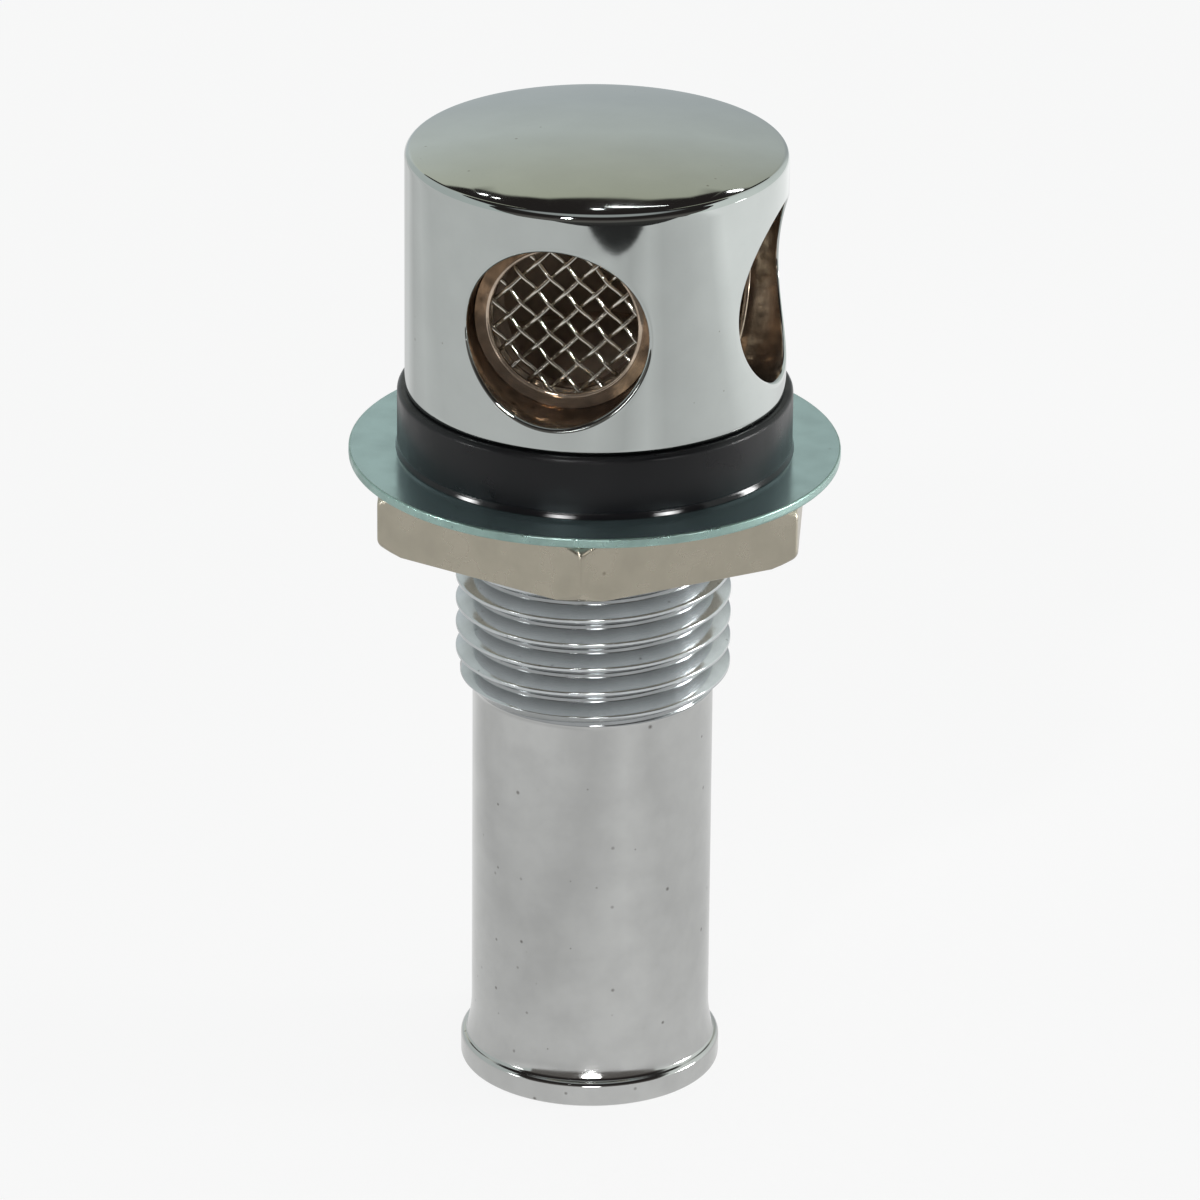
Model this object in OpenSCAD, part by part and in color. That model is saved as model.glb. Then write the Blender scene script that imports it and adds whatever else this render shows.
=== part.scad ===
// Straight tank vent with two screened ports in a chromed head.
// The stem drops through a panel: the gasket seals above it, the washer and hex nut clamp below it.
// Sizes are in millimetres. Z runs up the vent, and Z = 0 is the underside of the gasket.

/* [Head] */

// Outside diameter of the head
head_d = 26.1; // [25:0.1:30]
// Height of the head at the middle of its crown
head_h = 18.1; // [17.2:0.1:22]
// Radius of the rounded crown edge
crown_edge_r = 0.5; // [0.3:0.1:1.6]
// Radius of the shallow dome on the crown
dome_r = 90; // [60:5:200]
// Thickness of the crown over the chamber
crown_t = 2.6; // [2:0.1:3.2]
// Diameter of the chamber inside the head
chamber_d = 15; // [14.4:0.1:15.6]

/* [Ports and screens] */

// Angle between the two ports
port_angle = 90; // [75:1:180]
// Diameter of each port
port_d = 12.5; // [11:0.1:13]
// Height of the port axes above the underside of the head
port_h = 8.1; // [7.6:0.1:8.6]
// Distance from the vent axis to the ledge a screen rests on
ledge_x = 8.4; // [8.2:0.1:9.4]
// Width of that ledge
ledge_w = 1.15; // [0.9:0.05:1.4]
// Thickness of a screen's rim at its rounded inner edge
rim_t = 1.3; // [1.2:0.05:1.6]
// How much thinner the rim is at its outer edge
rim_fall = 0.35; // [0.2:0.05:0.4]
// Gap round a rim in its port
rim_gap = 0.02; // [0.01:0.01:0.05]
// Depth of the groove that holds the gauze in its rim
groove_depth = 0.65; // [0.5:0.05:0.8]
// Spacing of the gauze wires
mesh_pitch = 1.4; // [1:0.01:1.8]
// Thickness of a gauze wire
wire_t = 0.32; // [0.25:0.01:0.36]

/* [Stem and hose tail] */

// Outside diameter of the stem thread
thread_d = 19.05; // [18:0.05:19.8]
// Pitch of the stem thread, which sets its depth and its end chamfer
thread_pitch = 1.814; // [1.2:0.001:2]
// Length of the thread below the panel face
thread_l = 17.6; // [14:0.1:24]
// Length of the plain neck between the thread and the head
neck_l = 1.2; // [0.6:0.1:2]
// Angle the thread has been cut from
thread_angle = 227; // [0:1:359]
// Outside diameter of the hose tail
tail_d = 16.7; // [15:0.1:17.2]
// Length of the hose tail below the thread
tail_l = 28.8; // [20:0.1:40]
// Diameter of the bead at the end of the tail
bead_d = 18.2; // [17.8:0.1:18.8]
// Radius of the rounded shoulder above the bead
bead_round = 0.35; // [0.25:0.05:0.4]
// Length of the gentle flare that runs out to the bead
flare_l = 2.6; // [2:0.1:5]
// Length of the straight land on the bead
land_l = 1.2; // [0.8:0.1:2]
// Radius round the end of the tail
end_round = 0.3; // [0.2:0.05:0.5]
// Bevel at the mouth of the bore
mouth_bevel = 0.4; // [0.2:0.1:0.8]
// Diameter of the bore through the stem
bore_d = 13; // [11:0.1:13.4]
// Length of the spigot that joins the stem to the head
spigot_l = 2.4; // [1.6:0.1:2.6]
// Gap round the spigot in the head
spigot_gap = 0.02; // [0.01:0.01:0.05]

/* [Gasket, washer and nut] */

// Outside diameter of the gasket
gasket_d = 27.4; // [25:0.1:33]
// Thickness of the gasket
gasket_t = 4.4; // [2:0.1:6]
// Radius round the outer edges of the gasket
gasket_round = 0.35; // [0.2:0.05:0.8]
// Gap between the gasket and the thread
gasket_gap = 0.05; // [0.03:0.01:0.1]
// Outside diameter of the washer
washer_d = 33.8; // [30:0.1:40]
// Thickness of the washer
washer_t = 0.7; // [0.5:0.05:1.2]
// Gap between the washer and the thread
washer_gap = 0.4; // [0.3:0.05:0.8]
// Width of the nut across its flats
nut_af = 28.6; // [25:0.1:32]
// Thickness of the nut
nut_t = 4.4; // [3.5:0.1:7]
// Diameter of the round face that the corner bevels leave on the nut
nut_face_d = 31.2; // [29:0.1:32.4]
// Gap between the nut and the thread
nut_gap = 0.05; // [0.03:0.01:0.1]
// Angle the nut has been turned to
nut_angle = 9.8; // [0:0.1:59.9]

/* [Hidden] */

$fn = 128;

// Half sizes used by more than one piece
head_r = head_d / 2;
chamber_r = chamber_d / 2;
port_r = port_d / 2;
thread_r = thread_d / 2;
tail_r = tail_d / 2;
bead_r = bead_d / 2;

// The crown edge is an arc tangent to the side of the head and to the dome
dome_z = head_h - dome_r;
edge_x = head_r - crown_edge_r;
edge_z = dome_z + sqrt(pow(dome_r - crown_edge_r, 2) - pow(edge_x, 2));
tangent_x = edge_x * dome_r / (dome_r - crown_edge_r);

// Screens: rim outside and inside, and the slot that takes the gauze
rim_r = port_r - rim_gap;
mouth_r = port_r - ledge_w;
slot_gap = 0.01;
slot_w = 2 * wire_t + 2 * slot_gap;
slot_x = 0.28;
rim_edge_r = (rim_t - slot_x - slot_w) / 2;
gauze_x = ledge_x + slot_x + slot_w / 2;
gauze_r = mouth_r + groove_depth - 0.05;
wire_bite = 0.02;
wave = (wire_t - wire_bite) / 2;
wire_count = floor(gauze_r / mesh_pitch - 0.15);

// Stem levels
thread_z = -thread_l;
thread_top = gasket_t - neck_l;
core_r = (bore_d / 2 + tail_r) / 2;
tail_z = thread_z - tail_l;
bead_z = tail_z + end_round + land_l;
flare_z = bead_z + bead_round + flare_l;
flare_rise = bead_r - bead_round - tail_r;
flare_r = (flare_l * flare_l + flare_rise * flare_rise) / (2 * flare_rise);

// Form of the thread down one pitch: distance below the middle of a crest, and depth under the crest
thread_depth = 0.6134 * thread_pitch;
crest_half = thread_pitch / 16;
flank = thread_depth * tan(30);
thread_form = [
    [-crest_half, 0],
    [crest_half, 0],
    [crest_half + flank, thread_depth],
    [thread_pitch - crest_half - flank, thread_depth]
];
thread_sides = 32;
form_count = len(thread_form);
thread_start = thread_top + 2 * thread_pitch;
thread_rows = form_count * (ceil((thread_start - thread_z) / thread_pitch) + 1);

// Nut levels and corner bevel
nut_z = -washer_t - nut_t;
nut_corner_r = nut_af / 2 / cos(30);
nut_face_r = nut_face_d / 2;
nut_bevel_h = (nut_corner_r - nut_face_r) * tan(30);

head_color = [0.78, 0.80, 0.80];
stem_color = [0.76, 0.78, 0.79];
rubber_color = [0.10, 0.10, 0.10];
zinc_color = [0.62, 0.70, 0.71];
nickel_color = [0.70, 0.66, 0.60];
bronze_color = [0.36, 0.28, 0.20];
wire_color = [0.80, 0.80, 0.76];

// Piece to draw, or all of them

// Puts a piece drawn along +Z onto the axis of one port
module at_port(number) {
    rotate([0, 0, port_angle * (number - 1)])
        translate([0, 0, gasket_t + port_h])
            rotate([90, 0, 0])
                children();
}

// Half section of the head, without its chamber and ports
module crown_profile() {
    square([head_r, edge_z]);
    square([edge_x, edge_z + crown_edge_r / 2]);
    intersection() {
        translate([edge_x, edge_z])
            circle(crown_edge_r);
        square([head_r, head_h]);
    }
    intersection() {
        translate([0, dome_z])
            circle(dome_r, $fn = 720);
        square([tangent_x, head_h]);
    }
}

module head() {
    color(head_color)
        difference() {
            translate([0, 0, gasket_t])
                rotate_extrude()
                    crown_profile();
            translate([0, 0, gasket_t - 1])
                cylinder(r = chamber_r, h = head_h - crown_t + 1);
            for (number = [1 : 2])
                at_port(number) {
                    translate([0, 0, chamber_r / 2])
                        cylinder(r = mouth_r, h = head_r);
                    translate([0, 0, ledge_x])
                        cylinder(r = port_r, h = head_r);
                }
        }
}

// A row of the thread climbs one pitch a turn, so where a turn closes it meets the row one pitch up
function thread_point(row, side) =
    let (
        turns = floor(row / form_count),
        form = thread_form[row - turns * form_count],
        angle = 360 * side / thread_sides,
        r = thread_r - form[1],
        climb = thread_pitch * (side / thread_sides - turns)
    )
    [r * cos(angle), r * sin(angle), thread_start + climb - form[0]];

// Number of a point in the thread's list, which starts with the rows above the first one
function thread_index(row, side) =
    side == thread_sides ? thread_index(row - form_count, 0)
    : row < 0 ? row + form_count
    : form_count + row * thread_sides + side;

// Right-hand thread, longer than it is needed at both ends
module thread_bar() {
    last = thread_rows - 1;
    points = concat(
        [for (row = [-form_count : -1]) thread_point(row, 0)],
        [for (row = [0 : last]) for (side = [0 : thread_sides - 1]) thread_point(row, side)],
        [[0, 0, thread_start], [0, 0, thread_point(last, 0)[2]]]
    );
    top = len(points) - 2;
    bottom = len(points) - 1;
    sides = [0 : thread_sides - 1];
    walls = [
        for (row = [0 : last - 1])
            for (side = sides)
                let (
                    a = thread_index(row, side),
                    b = thread_index(row, side + 1),
                    c = thread_index(row + 1, side + 1),
                    d = thread_index(row + 1, side)
                )
                each [[a, b, c], [a, c, d]]
    ];
    ends = [
        for (side = sides)
            for (end = [[top, 0, side + 1, side], [bottom, last, side, side + 1]])
                [end[0], thread_index(end[1], end[2]), thread_index(end[1], end[3])]
    ];
    steps = [
        for (row = [-form_count : -1])
            for (end = [[top, row + 1, row], [bottom, last + row, last + row + 1]])
                [end[0], thread_index(end[1], 0), thread_index(end[2], 0)]
    ];
    polyhedron(points, concat(walls, ends, steps));
}

// Half section that cuts the thread to length and chamfers its lower end
module thread_limit_profile() {
    clear = thread_depth;
    polygon([
        [0, thread_z],
        [thread_r - thread_depth, thread_z],
        [thread_r + clear, thread_z + thread_depth + clear],
        [thread_r + clear, thread_top],
        [0, thread_top]
    ]);
}

// Half section of the stem, without its thread and bore
module stem_profile() {
    translate([0, gasket_t])
        square([chamber_r - spigot_gap, spigot_l]);
    translate([0, thread_top])
        square([tail_r, neck_l]);
    translate([0, thread_z])
        square([core_r, gasket_t - thread_z]);
    translate([0, flare_z])
        square([tail_r, thread_z - flare_z]);
    difference() {
        translate([0, bead_z])
            square([bead_r - bead_round, bead_round + flare_l]);
        translate([tail_r + flare_r, flare_z])
            circle(flare_r);
    }
    translate([bead_r - bead_round, bead_z])
        circle(bead_round);
    translate([0, tail_z + end_round])
        square([bead_r, land_l]);
    translate([0, tail_z])
        square([bead_r - end_round, end_round + land_l / 2]);
    translate([bead_r - end_round, tail_z + end_round])
        circle(end_round);
}

module shank() {
    color(stem_color)
        difference() {
            union() {
                rotate_extrude()
                    stem_profile();
                intersection() {
                    rotate([0, 0, thread_angle])
                        thread_bar();
                    rotate_extrude()
                        thread_limit_profile();
                }
            }
            translate([0, 0, tail_z - 1])
                cylinder(d = bore_d, h = gasket_t + spigot_l - tail_z + 2);
            translate([0, 0, tail_z - mouth_bevel])
                cylinder(r1 = bore_d / 2 + 2 * mouth_bevel, r2 = bore_d / 2, h = 2 * mouth_bevel);
        }
}

// Half section of the gasket, with its outer edges rounded
module gasket_profile() {
    inner = thread_r + gasket_gap;
    round_x = gasket_d / 2 - gasket_round;
    translate([inner, 0])
        square([round_x - inner, gasket_t]);
    translate([inner, gasket_round])
        square([gasket_d / 2 - inner, gasket_t - 2 * gasket_round]);
    for (z = [gasket_round, gasket_t - gasket_round])
        translate([round_x, z])
            circle(gasket_round);
}

module gasket() {
    color(rubber_color)
        rotate_extrude()
            gasket_profile();
}

module washer() {
    color(zinc_color)
        translate([0, 0, -washer_t])
            difference() {
                cylinder(d = washer_d, h = washer_t);
                translate([0, 0, -1])
                    cylinder(r = thread_r + washer_gap, h = washer_t + 2);
            }
}

// Half section that bevels the corners of the nut on both faces
module nut_bevel_profile() {
    polygon([
        [0, 0],
        [nut_face_r, 0],
        [nut_corner_r, nut_bevel_h],
        [nut_corner_r, nut_t - nut_bevel_h],
        [nut_face_r, nut_t],
        [0, nut_t]
    ]);
}

module nut() {
    lead = thread_depth / 2;
    bore_r = thread_r + nut_gap;
    color(nickel_color)
        translate([0, 0, nut_z])
            difference() {
                intersection() {
                    rotate([0, 0, nut_angle - 90])
                        cylinder(r = nut_corner_r, h = nut_t, $fn = 6);
                    rotate_extrude()
                        nut_bevel_profile();
                }
                translate([0, 0, -1])
                    cylinder(r = bore_r, h = nut_t + 2);
                translate([0, 0, nut_t - lead])
                    cylinder(r1 = bore_r, r2 = bore_r + 2 * lead, h = 2 * lead);
                translate([0, 0, -lead])
                    cylinder(r1 = bore_r + 2 * lead, r2 = bore_r, h = 2 * lead);
            }
}

// Half section of a screen rim: a rounded inner edge, a face that falls away from it and a gauze groove
module rim_profile() {
    front = ledge_x + rim_t;
    difference() {
        union() {
            polygon([
                [mouth_r, ledge_x],
                [rim_r, ledge_x],
                [rim_r, front - rim_fall],
                [mouth_r + rim_edge_r, front],
                [mouth_r + rim_edge_r, front - rim_edge_r],
                [mouth_r, front - rim_edge_r]
            ]);
            translate([mouth_r + rim_edge_r, front - rim_edge_r])
                circle(rim_edge_r);
        }
        translate([mouth_r - 1, ledge_x + slot_x])
            square([groove_depth + 1, slot_w]);
    }
}

module screen_rim(number) {
    color(bronze_color)
        at_port(number)
            rotate_extrude()
                rim_profile();
}

// One crimped wire along X, bent over and under its neighbours; side is 1 or -1
module wire(offset_y, side) {
    half = sqrt(pow(gauze_r, 2) - pow(abs(offset_y) + wire_t / 2, 2));
    reach = floor(half / mesh_pitch + 0.5);
    flat = 0.6 * wire_t;
    level = function (i) side * (i % 2 == 0 ? 1 : -1) * wave;
    middle = [
        for (i = [-reach : reach])
            for (end = [-1, 1])
                [i * mesh_pitch + end * flat, level(i)]
    ];
    inside = [for (p = middle) if (abs(p[0]) < half - 0.1) p];
    last = len(inside) - 1;
    line = concat([[-half, inside[0][1]]], inside, [[half, inside[last][1]]]);
    upper = [for (p = line) [p[0], p[1] + wire_t / 2]];
    lower = [for (i = [len(line) - 1 : -1 : 0]) [line[i][0], line[i][1] - wire_t / 2]];
    translate([0, offset_y + wire_t / 2, 0])
        rotate([90, 0, 0])
            linear_extrude(wire_t)
                polygon(concat(upper, lower));
}

// Plain-woven gauze: every wire passes over and under the wires that cross it
module gauze(number) {
    color(wire_color)
        at_port(number)
            translate([0, 0, gauze_x])
                rotate([0, 0, 45]) {
                    for (i = [-wire_count : wire_count]) {
                        side = i % 2 == 0 ? 1 : -1;
                        wire(i * mesh_pitch, side);
                        rotate([0, 0, 90])
                            wire(i * mesh_pitch, -side);
                    }
                }
}

head();
shank();
gasket();
washer();
nut();
screen_rim(1);  // screen_rim_1
screen_rim(2);  // screen_rim_2
gauze(1);  // gauze_1
gauze(2);  // gauze_2
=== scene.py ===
# %% [markdown]
# A screened tank vent, dressed on its frame.
# The vent is a chromed head with two gauze ports on a threaded stem. A gasket sits under the head,
# a washer and a hex nut clamp the panel from below, and a hose goes on the tail.
# The frame gives the solids at their real size. Each cell below makes one piece or one finish in metres,
# in the frame's own place, and hands it to the body that carries it.

# %% Load the frame
import math

import bmesh
import bpy
from mathutils import Matrix, Quaternion, Vector


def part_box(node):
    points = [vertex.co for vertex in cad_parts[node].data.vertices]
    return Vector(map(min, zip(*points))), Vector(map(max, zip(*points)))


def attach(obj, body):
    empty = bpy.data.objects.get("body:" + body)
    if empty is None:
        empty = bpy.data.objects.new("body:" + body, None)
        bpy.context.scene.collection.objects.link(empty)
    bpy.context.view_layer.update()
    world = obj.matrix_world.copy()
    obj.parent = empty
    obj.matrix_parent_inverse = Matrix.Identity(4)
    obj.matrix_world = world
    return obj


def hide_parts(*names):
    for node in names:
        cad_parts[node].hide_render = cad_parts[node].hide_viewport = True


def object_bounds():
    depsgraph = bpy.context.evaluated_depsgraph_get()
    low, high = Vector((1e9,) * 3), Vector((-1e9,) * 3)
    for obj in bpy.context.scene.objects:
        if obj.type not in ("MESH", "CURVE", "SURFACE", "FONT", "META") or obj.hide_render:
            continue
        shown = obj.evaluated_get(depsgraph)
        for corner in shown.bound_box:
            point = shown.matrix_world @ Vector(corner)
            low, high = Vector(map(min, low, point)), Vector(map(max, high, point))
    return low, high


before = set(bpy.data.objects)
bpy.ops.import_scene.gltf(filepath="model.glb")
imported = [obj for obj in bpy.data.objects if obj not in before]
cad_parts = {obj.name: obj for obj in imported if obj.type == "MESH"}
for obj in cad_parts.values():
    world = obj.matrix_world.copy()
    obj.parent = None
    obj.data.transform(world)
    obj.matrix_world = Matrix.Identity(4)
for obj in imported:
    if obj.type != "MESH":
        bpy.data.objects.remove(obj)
cad_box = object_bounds()
MM = 0.001
scene = bpy.context.scene

# %% [markdown]
# The camera comes first, because every later choice is judged through it.
# A long lens from far back keeps the tail almost as wide as the head, as in the photograph.
# The stem leans half a degree in the picture, so the camera is rolled by that much.

# %% Place the camera
CAMERA_TURN = math.radians(13.0)
CAMERA_RISE = math.radians(23.41)
CAMERA_ROLL = math.radians(0.515)
CAMERA_REACH = 0.56938
AIM_LEVEL = -0.01171
AIM_ASIDE = 0.00046
LENS = 246.84
SENSOR = 36.0
NEAREST = 0.01

sideways = Vector((math.cos(CAMERA_TURN), math.sin(CAMERA_TURN), 0.0))
forward_flat = Vector((math.sin(CAMERA_TURN), -math.cos(CAMERA_TURN), 0.0))
to_camera = forward_flat * math.cos(CAMERA_RISE) + Vector((0, 0, math.sin(CAMERA_RISE)))
aim = Vector((0, 0, AIM_LEVEL)) + sideways * AIM_ASIDE

lens = bpy.data.cameras.new("camera")
lens.lens = LENS
lens.sensor_width = SENSOR
lens.clip_start = NEAREST
camera = bpy.data.objects.new("camera", lens)
camera.location = aim + to_camera * CAMERA_REACH
camera.rotation_mode = "QUATERNION"
camera.rotation_quaternion = to_camera.to_track_quat("Z", "Y") @ Quaternion((0, 0, 1), CAMERA_ROLL)
scene.collection.objects.link(camera)
scene.camera = camera
scene.view_settings.view_transform = "Standard"
print("camera at", [round(v, 4) for v in camera.location])

# %% [markdown]
# Chrome shows its surroundings more than itself, so the studio is built with care.
# The vent stands in a white tent on a white sheet. The tent is open above and in front, where the sheet
# ends a little way before the vent, and that opening is the dark lens shape under the front of the crown.
# Only a soft light hangs straight overhead, so that the crown isn't black when it is seen from above.
# Camera rays see plain white, and the sheet keeps a soft shadow of the vent.


# %% Small helpers for shader nodes
def feed(tree, socket, value):
    """Links an input to another node's output, or sets it to a fixed value."""
    if isinstance(value, bpy.types.NodeSocket):
        tree.links.new(value, socket)
    else:
        socket.default_value = value


def feed_all(tree, node, **values):
    """Feeds several inputs by their names, with _ in place of a space."""
    for name, value in values.items():
        feed(tree, node.inputs[name.replace("_", " ")], value)


def add_node(tree, kind, **settings):
    """Adds a node and sets its properties, or feeds its inputs where a name is an input's."""
    node = tree.nodes.new(kind)
    for name, value in settings.items():
        if hasattr(node, name):
            setattr(node, name, value)
        else:
            feed_all(tree, node, **{name: value})
    return node


def add_math(tree, operation, *values):
    """The result of a Math node."""
    node = add_node(tree, "ShaderNodeMath", operation=operation)
    for socket, value in zip(node.inputs, values):
        feed(tree, socket, value)
    return node.outputs["Value"]


def add_vector_math(tree, operation, *values):
    """The result of a Vector Math node, which is a number for a dot product or a length."""
    node = add_node(tree, "ShaderNodeVectorMath", operation=operation)
    for socket, value in zip(node.inputs, values):
        feed(tree, socket, value)
    return node.outputs["Value" if operation in ("DOT_PRODUCT", "LENGTH") else "Vector"]


def add_range(tree, value, low, high, to_low, to_high, smooth=False):
    """The result of a Map Range node."""
    node = add_node(tree, "ShaderNodeMapRange")
    if smooth:
        node.interpolation_type = "SMOOTHSTEP"
    feed_all(tree, node, Value=value, From_Min=low, From_Max=high, To_Min=to_low, To_Max=to_high)
    return node.outputs["Result"]


def add_mix(tree, factor, first, second, colour=True):
    """A blend of two colours, or of two numbers where colour is off. The Mix node keeps a pair of
    sockets for each kind, so they are picked by number."""
    node = add_node(tree, "ShaderNodeMix", data_type="RGBA" if colour else "FLOAT")
    sockets = (0, 6, 7) if colour else (0, 2, 3)
    for index, value in zip(sockets, (factor, first, second)):
        feed(tree, node.inputs[index], value)
    return node.outputs[2 if colour else 0]


def mix_shaders(tree, factor, first, second):
    """A blend of two shaders."""
    node = add_node(tree, "ShaderNodeMixShader", Fac=factor)
    feed(tree, node.inputs[1], first.outputs[0])
    feed(tree, node.inputs[2], second.outputs[0])
    return node


def ramp_of(tree, source, stops):
    """A colour ramp driven from -1 to 1, with stops given as (place, colour)."""
    node = add_node(tree, "ShaderNodeValToRGB", Fac=add_range(tree, source, -1.0, 1.0, 0.0, 1.0))
    elements = node.color_ramp.elements
    while len(elements) < len(stops):
        elements.new(0.5)
    for element, (spot, colour) in zip(elements, stops):
        element.position = (spot + 1) / 2
        element.color = (*colour, 1)
    return node.outputs["Color"]


def place_of(tree, kind="Object"):
    """Where the shaded point is."""
    return add_node(tree, "ShaderNodeTexCoord").outputs[kind]


def axis_distance(tree):
    """How far the shaded point is from the vent's axis."""
    return add_vector_math(tree, "LENGTH", add_vector_math(tree, "MULTIPLY", place_of(tree), (1, 1, 0)))


def new_material(name):
    """An empty node material with its output and one Principled shader."""
    material = bpy.data.materials.new(name)
    material.use_nodes = True
    tree = material.node_tree
    tree.nodes.clear()
    output = tree.nodes.new("ShaderNodeOutputMaterial")
    shader = tree.nodes.new("ShaderNodeBsdfPrincipled")
    feed(tree, output.inputs["Surface"], shader.outputs[0])
    return material, tree, shader, output


print("shader helpers ready")

# %% The sheet under the vent
SHEET_TURN = math.radians(12.0)
SHEET_FRONT = 0.183
SHEET_BACK = 0.75
SHEET_HALF = 0.55
SHEET_WHITE = 0.93
SHEET_ROUGH = 0.9
SHEET_SHEEN = 0.1
SHEET_SHARE = 0.86
SHEET_SPAN = 0.16
SHADE_TURN = math.radians(30.0)
# Painted light and shade: what chrome mirrors of the sheet is a ramp of tones across it, with darker
# bands for soft shadows and a brighter end toward the right.
SHEET_PAINTED_SHADING = [(-0.9, 0.80), (-0.65, 0.75), (-0.44, 0.82), (-0.2, 0.67), (0.0, 0.85), (0.17, 0.74)]
SHEET_PAINTED_SHADING += [(0.47, 0.84), (0.72, 0.96), (0.87, 1.28)]
RAMP_SHARE = 0.5

low_level = cad_box[0][2]
sheet_way = Matrix.Rotation(SHEET_TURN, 3, "Z") @ forward_flat
sheet_side = Matrix.Rotation(SHEET_TURN, 3, "Z") @ sideways
corners = [
    sheet_side * x + sheet_way * y + Vector((0, 0, low_level))
    for x, y in (
        (-SHEET_HALF, -SHEET_BACK),
        (SHEET_HALF, -SHEET_BACK),
        (SHEET_HALF, SHEET_FRONT),
        (-SHEET_HALF, SHEET_FRONT),
    )
]
sheet_mesh = bpy.data.meshes.new("floor_sheet")
sheet_mesh.from_pydata([tuple(c) for c in corners], [], [(0, 1, 2, 3)])
sheet = bpy.data.objects.new("floor_sheet", sheet_mesh)
scene.collection.objects.link(sheet)

material, tree, shader, output = new_material("white_sheet")
shader.inputs["Base Color"].default_value = (SHEET_WHITE, SHEET_WHITE, SHEET_WHITE, 1)
shader.inputs["Roughness"].default_value = SHEET_ROUGH
shader.inputs["Specular IOR Level"].default_value = SHEET_SHEEN
path = add_node(tree, "ShaderNodeLightPath").outputs
shade_way = sideways * math.cos(SHADE_TURN) - forward_flat * math.sin(SHADE_TURN)
# Only glossy rays see this painted light and shade across the sheet. Camera rays see plain white.
aside = add_vector_math(tree, "DOT_PRODUCT", place_of(tree), shade_way / SHEET_SPAN)
tones = [(spot, (tone * RAMP_SHARE,) * 3) for spot, tone in SHEET_PAINTED_SHADING]
painted_sheet_shading = add_math(tree, "MULTIPLY", ramp_of(tree, aside, tones), 1 / RAMP_SHARE)
strength = add_mix(tree, path["Is Glossy Ray"], 1.0, painted_sheet_shading, colour=False)
glow = add_node(tree, "ShaderNodeEmission", Strength=strength)
seen = add_math(tree, "MAXIMUM", path["Is Camera Ray"], path["Is Glossy Ray"])
seen = add_math(tree, "MAXIMUM", seen, path["Is Transmission Ray"])
mixed = mix_shaders(tree, add_math(tree, "MULTIPLY", seen, SHEET_SHARE), shader, glow)
feed(tree, output.inputs["Surface"], mixed.outputs[0])
sheet_mesh.materials.append(material)
print("sheet reaches", SHEET_FRONT, "m in front of the vent")

# %% Directions in the tent
world = bpy.data.worlds.new("tent")
scene.world = world
world.use_nodes = True
tree = world.node_tree
tree.nodes.clear()
output = tree.nodes.new("ShaderNodeOutputWorld")
where = place_of(tree, "Generated")
height = add_node(tree, "ShaderNodeSeparateXYZ", Vector=where).outputs["Z"]
level = add_vector_math(tree, "NORMALIZE", add_vector_math(tree, "MULTIPLY", where, (1, 1, 0)))


def facing(way):
    """How far a direction points along one level way, from -1 to 1."""
    return add_vector_math(tree, "DOT_PRODUCT", level, way)


OPENING_TURN = math.radians(4.0)
to_opening = facing(Matrix.Rotation(OPENING_TURN, 3, "Z") @ forward_flat)
to_back = facing(-forward_flat)
to_right = facing(sideways)
print("tent opens", round(math.degrees(OPENING_TURN)), "degrees to the right of the camera")

# %% Top edge of the tent's walls
LOWEST_EDGE = -0.5
EDGE_SPAN = 1.5
WALL_TOPS = [(-1.0, 0.72), (-0.3, 0.80), (0.0, 0.80), (0.35, 0.45), (0.6, -0.1), (0.7, LOWEST_EDGE)]
BACK_DIPS = [(-0.15, 0.0), (-0.11, 0.21), (-0.085, 0.18), (-0.05, 0.163), (0.05, 0.163), (0.085, 0.18)]
BACK_DIPS += [(0.11, 0.21), (0.15, 0.0)]
EDGE_BLUR = 0.003
GAP_LOW = 0.505
GAP_HIGH = 0.62
GAP_FADES = (0.01, 0.06)
GAP_BEHIND = (0.86, 0.92)
GAP_ASIDE = (0.09, 0.12)

tops = [(spot, ((top - LOWEST_EDGE) / EDGE_SPAN,) * 3) for spot, top in WALL_TOPS]
dips = [(spot, (dip,) * 3) for spot, dip in BACK_DIPS]
wall_top = add_math(tree, "MULTIPLY_ADD", ramp_of(tree, to_opening, tops), EDGE_SPAN, LOWEST_EDGE)
wall_top = add_math(tree, "SUBTRACT", wall_top, ramp_of(tree, to_right, dips))
below_top = add_math(tree, "SUBTRACT", wall_top, height)
under_edge = add_range(tree, below_top, -EDGE_BLUR, EDGE_BLUR, 0.0, 1.0)
gap_from = add_range(tree, height, GAP_LOW, GAP_LOW + GAP_FADES[0], 0.0, 1.0)
gap_to = add_range(tree, height, GAP_HIGH, GAP_HIGH + GAP_FADES[1], 1.0, 0.0)
gap_behind = add_range(tree, to_back, *GAP_BEHIND, 0.0, 1.0)
gap_aside = add_range(tree, add_math(tree, "ABSOLUTE", to_right), *GAP_ASIDE, 0.0, 1.0)
gap_tall = add_math(tree, "MULTIPLY", gap_from, gap_to)
gap_wide = add_math(tree, "MULTIPLY", gap_behind, gap_aside)
in_tent = add_math(tree, "SUBTRACT", under_edge, add_math(tree, "MULTIPLY", gap_tall, gap_wide))
in_tent.node.use_clamp = True
print("walls reach", round(math.degrees(math.asin(max(top for _, top in WALL_TOPS)))), "degrees up")

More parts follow.
